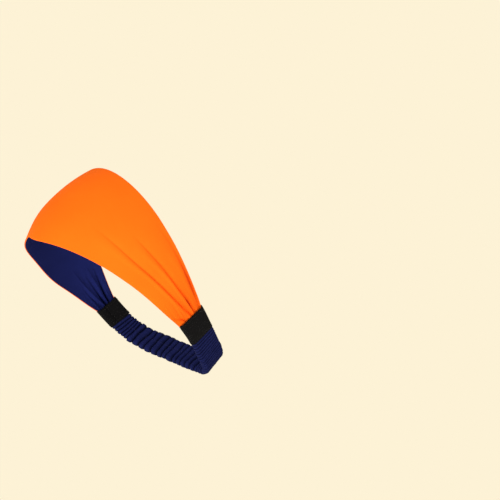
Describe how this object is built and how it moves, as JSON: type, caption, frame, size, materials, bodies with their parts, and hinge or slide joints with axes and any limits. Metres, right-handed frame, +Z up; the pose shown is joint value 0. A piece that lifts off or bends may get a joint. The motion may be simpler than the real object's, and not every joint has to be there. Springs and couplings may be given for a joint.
{
  "type": "stretch headband",
  "caption": "Wide two-layer stretch headband that tapers to webbing tabs joined behind the head by a gathered elastic sleeve.",
  "frame": {"origin": "centre of the head opening, half way up the band and half way between its front and back and between its sides", "axes": "+Z is the axis of the head opening, up when the band is worn level; -Y faces forward, where the wide panel crosses the forehead, so +Y runs to the back of the head; +X is the wearer's left when the band is seen from the front with +Z up"},
  "size_m": [0.1572, 0.2233, 0.095],
  "materials": {
    "outer_knit": "bright orange fine stretch knit, matte with a soft sheen",
    "lining_knit": "navy fine stretch knit, matte",
    "seam_thread": "navy polyester thread",
    "tab_webbing": "black ribbed polyester webbing, matte",
    "tab_thread": "black polyester thread",
    "elastic": "dark knitted elastic tape",
    "sleeve_knit": "navy stretch knit gathered in close ruches"
  },
  "bodies": {
    "front": {"outer_panel": "outer_knit", "inner_lining": "lining_knit", "upper_edge_seam": "seam_thread", "lower_edge_seam": "seam_thread", "right_end_tab": "tab_webbing", "left_end_tab": "tab_webbing", "right_tab_front_stitches": "tab_thread", "right_tab_rear_stitches": "tab_thread", "left_tab_front_stitches": "tab_thread", "left_tab_rear_stitches": "tab_thread"},
    "elastic_back": {"elastic_core": "elastic", "ruched_sleeve": "sleeve_knit", "sleeve_seam": "seam_thread"}
  },
  "joints": [
    {"name": "elastic_stretch", "type": "slide", "parent": "front", "child": "elastic_back", "axis": [0, 1, 0], "range_m": [0, 0.03], "stiffness_N_per_m": 60, "deforming": ["elastic_core", "ruched_sleeve", "sleeve_seam"]}
  ]
}
